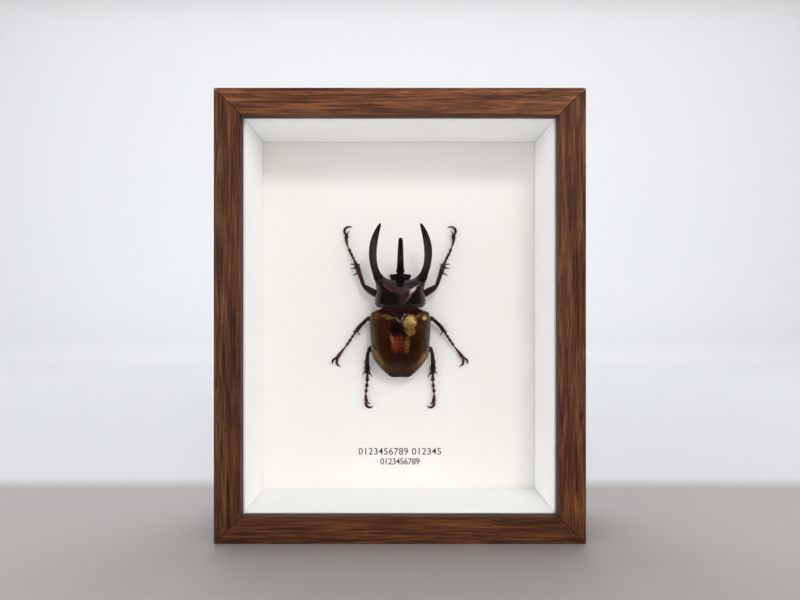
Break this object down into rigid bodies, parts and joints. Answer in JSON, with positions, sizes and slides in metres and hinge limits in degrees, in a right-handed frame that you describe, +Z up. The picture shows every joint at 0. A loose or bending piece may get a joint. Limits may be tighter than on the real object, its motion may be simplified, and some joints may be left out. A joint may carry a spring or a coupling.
{
  "type": "framed beetle specimen",
  "caption": "Three-horned beetle mounted on a white card in a deep wooden box frame with a glass front, for a shelf or table.",
  "frame": {"origin": "middle of the footprint, on the surface the frame stands on", "axes": "+Z up, +X to the right as seen from the front, -Y out through the glass"},
  "size_m": [0.222, 0.068, 0.272],
  "materials": {
    "frame_wood": "dark brown stained wood, satin, straight open grain",
    "glass": "clear polished picture glass",
    "liner_board": "white faced foam board, matte",
    "mount_card": "off-white mount board, matte, slightly warm",
    "back_board": "brown hardboard, matte, faint fibres",
    "point_steel": "thin zinc-plated spring steel",
    "beetle_black": "polished black horn with a red-brown cast",
    "wing_case": "polished bronze-brown horn, olive at the rims",
    "beetle_limb": "satin black horn, red-brown towards the feet",
    "printed_ink": "dark grey printed ink"
  },
  "bodies": {
    "root": {"frame_rail_bottom": "frame_wood", "frame_rail_top": "frame_wood", "frame_stile_left": "frame_wood", "frame_stile_right": "frame_wood", "glass_pane": "glass", "liner_bottom": "liner_board", "liner_top": "liner_board", "liner_left": "liner_board", "liner_right": "liner_board", "mount_card": "mount_card", "back_board": "back_board", "point_bottom": "point_steel", "point_top": "point_steel", "point_left_lower": "point_steel", "point_left_upper": "point_steel", "point_right_lower": "point_steel", "point_right_upper": "point_steel", "head": "beetle_black", "pronotum": "beetle_black", "scutellum": "beetle_black", "elytron_left": "wing_case", "elytron_right": "wing_case", "hind_body": "beetle_limb", "leg_front_left_femur": "beetle_limb", "leg_front_left_tibia": "beetle_limb", "leg_front_left_tarsus": "beetle_limb", "leg_front_right_femur": "beetle_limb", "leg_front_right_tibia": "beetle_limb", "leg_front_right_tarsus": "beetle_limb", "leg_middle_left_femur": "beetle_limb", "leg_middle_left_tibia": "beetle_limb", "leg_middle_left_tarsus": "beetle_limb", "leg_middle_right_femur": "beetle_limb", "leg_middle_right_tibia": "beetle_limb", "leg_middle_right_tarsus": "beetle_limb", "leg_hind_left_femur": "beetle_limb", "leg_hind_left_tibia": "beetle_limb", "leg_hind_left_tarsus": "beetle_limb", "leg_hind_right_femur": "beetle_limb", "leg_hind_right_tibia": "beetle_limb", "leg_hind_right_tarsus": "beetle_limb"}
  },
  "joints": []
}
